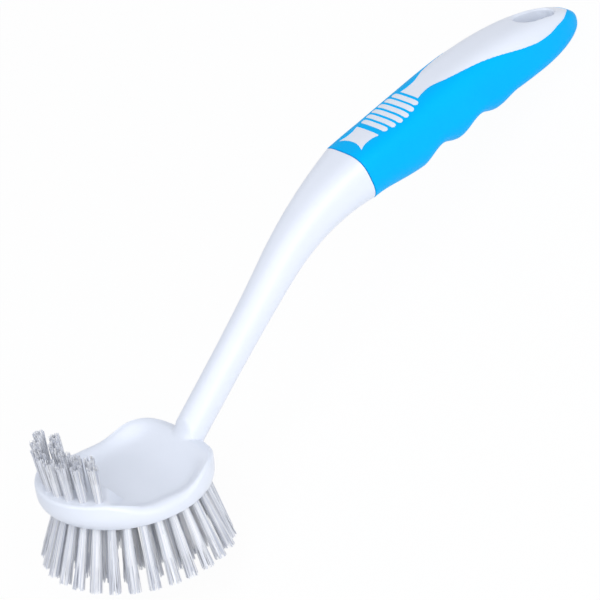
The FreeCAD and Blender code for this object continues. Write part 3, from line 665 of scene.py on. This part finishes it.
def bristles(feet, outward, axis, length, tip_radius):
    """Points, faces and shade of some tufts: a tight core of each bundle, and filaments round it.

    A filament starts in a disc in the hole and ends at the same turn in a wider disc at the tip, so
    the bundle flares; the way between grows as a power of the height, with a random bow. Most of
    the filaments lie on the outside. Each has one random shade, and the core a lighter one.
    """
    count, stops = (len(feet), FILAMENTS), len(FILAMENT_STOPS)
    sideways = np.cross(axis, outward)
    sideways /= np.linalg.norm(sideways, axis=1, keepdims=True)
    stance = feet, np.cross(sideways, axis), sideways, axis
    ring, turn = filament_dice.random(count) ** OUTSIDE_POWER, 2 * np.pi * filament_dice.random(count)
    disc = np.stack([ring * np.cos(turn), ring * np.sin(turn)], axis=-1)
    stray = filament_dice.normal(0, STRAY, (*count, 2))
    bow = filament_dice.normal(0, BOW, (*count, 2))
    tall = length - RAGGED * filament_dice.random(count) ** RAGGED_POWER
    part = FILAMENT_STOPS[:, None]
    base, tip = TUFT_BASE_RADIUS * disc, tip_radius * disc + stray
    lateral = mix(base[:, :, None], tip[:, :, None], part ** FLARE_POWER)
    lateral = lateral + bow[:, :, None] * 4 * part * (1 - part)
    thin = np.full(stops, FILAMENT_RADIUS)
    height = mix(-FOOT_DEPTH, tall[..., None], FILAMENT_STOPS)
    strands = tubes(stance, lateral, thin, turn, height, FILAMENT_SIDES)
    one = (len(feet), 1)
    core_radius = mix(TUFT_BASE_RADIUS, tip_radius, FILAMENT_STOPS ** FLARE_POWER) * CORE_SHARE
    core_height = mix(-FOOT_DEPTH, length - 2 * RAGGED, FILAMENT_STOPS)
    core_height = np.broadcast_to(core_height, (*one, stops))
    core = tubes(stance, np.zeros((*one, stops, 2)), core_radius, np.zeros(one), core_height, CORE_SIDES)
    shades = np.repeat(filament_dice.random(count[0] * count[1]), stops * FILAMENT_SIDES)
    return joined(strands, core), np.concatenate([shades, np.full(len(core[0]), CORE_SHADE)])


# Finish of the tufts: drawn polypropylene filament, milky white and slightly translucent with a silky
# sheen. The eye sees single strands of differing brightness, so each strand carries its own shade.
STRAND_TONES, STRAND_GLOSS, MILKINESS = ("#D6DAE4", "#FFFFFF"), (0.35, 0.55), 0.1

filament = bpy.data.materials.new("extruded_polypropylene_filament")
tree = emptied(filament)
strand = add_node(tree, "ShaderNodeAttribute", {}, attribute_name="strand_shade").outputs["Fac"]
tone = toned(tree, strand, STRAND_TONES)
silky = add_node(tree, "ShaderNodeBsdfPrincipled", {
    "Base Color": tone,
    "Roughness": ranged(tree, strand, STRAND_GLOSS),
    "IOR": POLYPROPYLENE_IOR,
}).outputs["BSDF"]
glow = add_node(tree, "ShaderNodeBsdfTranslucent", {"Color": tone}).outputs["BSDF"]
shown(tree, add_node(tree, "ShaderNodeMixShader", {0: MILKINESS, 1: silky, 2: glow}).outputs["Shader"])


def plant_row(name, stances, length, tip_radius, nodes):
    """Puts the tufts of one row in place for the CAD nodes they stand for."""
    shell, shade = bristles(*stances, length, tip_radius)
    row = moulded(name, shell, filament)
    strand_shade = row.data.attributes.new("strand_shade", "FLOAT", "POINT")
    strand_shade.data.foreach_set("value", shade.astype(np.float32))
    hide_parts(*nodes)


for row_name, (count, inset, tip_radius) in SOLE_ROWS.items():
    angle = 360 * (np.arange(count) + 0.5) / count
    row_half = SOLE_HALF - inset
    from_heel = ease(share(np.minimum(angle, 360 - angle), 0, HEEL_TURN))
    lean = row_half[0] / (SOLE_HALF[0] - EDGE_INSET) * mix(HEEL_LEAN, EDGE_LEAN, from_heel)
    stances = tuft_stances(np.radians(angle), np.radians(lean), SOLE_CENTRE, row_half, -1)
    nodes = [f"{row_name}_tuft_{i + 1:02d}" for i in range(count)]
    if row_name in GROUPED_ROWS:
        nodes = [row_name + "_row_tufts"]
    plant_row(row_name + "_bristles", stances, SOLE_TUFT_LENGTH, tip_radius, nodes)

for row_name, (count, inset, half_angle) in TOE_ROWS.items():
    angle = np.radians(180 + half_angle * np.linspace(-1, 1, count))
    lean = np.full(count, np.radians(TOE_LEAN))
    stances = tuft_stances(angle, lean, np.array([0, 0, TOE_HEIGHT]), HEAD_HALF - inset, 1)
    nodes = [f"toe_{row_name}_tuft_{i + 1:02d}" for i in range(count)]
    plant_row("toe_" + row_name + "_bristles", stances, TOE_TUFT_LENGTH, TOE_TIP_RADIUS, nodes)

# Tuft anchors: short pieces of flat tinned wire, pressed across the bottom of each tuft hole, where
# the fold of the bundle hides them. They keep the shape of their solids.
WIRE_TONE, DRAWING_SIZE, WIRE_GLOSS = "#C9CBCD", 0.3, (0.25, 0.45)

anchor_wire = bpy.data.materials.new("drawn_tinned_wire")
tree = emptied(anchor_wire)
drawing = clouds(tree, DRAWING_SIZE, 1.0)
shown(tree, add_node(tree, "ShaderNodeBsdfPrincipled", {
    "Base Color": linear(WIRE_TONE),
    "Metallic": 1.0,
    "Roughness": ranged(tree, drawing, WIRE_GLOSS),
}).outputs["BSDF"])
for name in ("sole_tuft_anchors", "toe_tuft_anchors"):
    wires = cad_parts[name].data.materials
    wires.clear()
    wires.append(anchor_wire)

# Studio: a plain white floor that keeps the brush's soft shadow, a white room of even light, and two
# broad soft lamps, above and in front. The floor and the room show white to the camera.
FLOOR_HALF, FLOOR_WHITENESS = 3.0, 0.96
PAPER_TONE, WHITE = "#F7F7F7", "#FFFFFF"
ROOM_LIGHT, ROOM_TINT = 0.54, "#EEF3FF"
LAMPS = {"key_lamp": ((0.0, -1.0, 0.68), 0.9, 7.4), "fill_lamp": ((-0.35, -0.15, 1.2), 1.0, 4.2)}


def seen_plainly(tree):
    """1 for rays that show a surface, straight, mirrored or through another, and 0 for lighting ones."""
    rays = add_node(tree, "ShaderNodeLightPath", {}).outputs
    seen = rays["Is Camera Ray"]
    for kind in ("Is Glossy Ray", "Is Transmission Ray"):
        seen = add_node(tree, "ShaderNodeMath", {0: seen, 1: rays[kind]}, operation="MAXIMUM").outputs[0]
    return seen


floor_mesh = bpy.data.meshes.new("studio_floor")
corners = np.array([[-1, -1, 0], [1, -1, 0], [1, 1, 0], [-1, 1, 0]]) * FLOOR_HALF
floor_mesh.from_pydata(corners.tolist(), [], [[0, 1, 2, 3]])
studio_floor = bpy.data.objects.new("studio_floor", floor_mesh)
bpy.context.scene.collection.objects.link(studio_floor)

paper = bpy.data.materials.new("white_backdrop_paper")
floor_mesh.materials.append(paper)
tree = emptied(paper)
whitening = {0: seen_plainly(tree), 1: FLOOR_WHITENESS}
whitened = add_node(tree, "ShaderNodeMath", whitening, operation="MULTIPLY").outputs[0]
matt = add_node(tree, "ShaderNodeBsdfDiffuse", {"Color": linear(PAPER_TONE)}).outputs["BSDF"]
white = add_node(tree, "ShaderNodeEmission", {"Color": linear(WHITE), "Strength": 1.0}).outputs["Emission"]
shown(tree, add_node(tree, "ShaderNodeMixShader", {0: whitened, 1: matt, 2: white}).outputs["Shader"])

room = bpy.data.worlds.new("white_room")
bpy.context.scene.world = room
tree = emptied(room)
seen = seen_plainly(tree)
sky = add_node(tree, "ShaderNodeBackground", {
    "Color": toned(tree, seen, (ROOM_TINT, WHITE)),
    "Strength": ranged(tree, seen, (ROOM_LIGHT, 1.0)),
}).outputs["Background"]
add_node(tree, "ShaderNodeOutputWorld", {"Surface": sky})

for name, (place, size, power) in LAMPS.items():
    lamp = bpy.data.lights.new(name, "AREA")
    lamp.size = size
    lamp.energy = power
    lamp_object = bpy.data.objects.new(name, lamp)
    facing = (-Vector(place)).to_track_quat("-Z", "Y")
    lamp_object.matrix_world = Matrix.LocRotScale(Vector(place), facing, None)
    bpy.context.scene.collection.objects.link(lamp_object)

# Camera: the photograph's, found from the tuft feet and tips, the bars and the neck, and given in
# the frame of the brush with its sole level. A long lens, about 0.8 m away, rolled with the brush.
CAMERA_SPOT = np.array([-334.48, -615.73, 409.72])
CAMERA_AXES = np.array([
    [0.79053, -0.60318, -0.10599],
    [0.34338, 0.29325, 0.89224],
    [-0.50711, -0.74174, 0.43894],
])
CAMERA_FOCUS_PIXELS, PHOTO_WIDTH, SENSOR_WIDTH = 2185.0, 600, 36.0

camera = bpy.data.cameras.new("photo_camera")
camera.sensor_width = SENSOR_WIDTH
camera.lens = SENSOR_WIDTH * CAMERA_FOCUS_PIXELS / PHOTO_WIDTH
photo_camera = bpy.data.objects.new("photo_camera", camera)
camera_stand = np.eye(4)
camera_stand[:3, 3] = laid(CAMERA_SPOT)
camera_stand[:3, :3] = (laid(CAMERA_SPOT + CAMERA_AXES * 1000) - laid(CAMERA_SPOT)).T
photo_camera.matrix_world = Matrix(camera_stand.tolist())
bpy.context.scene.collection.objects.link(photo_camera)
bpy.context.scene.camera = photo_camera
bpy.context.scene.view_settings.view_transform = "Standard"
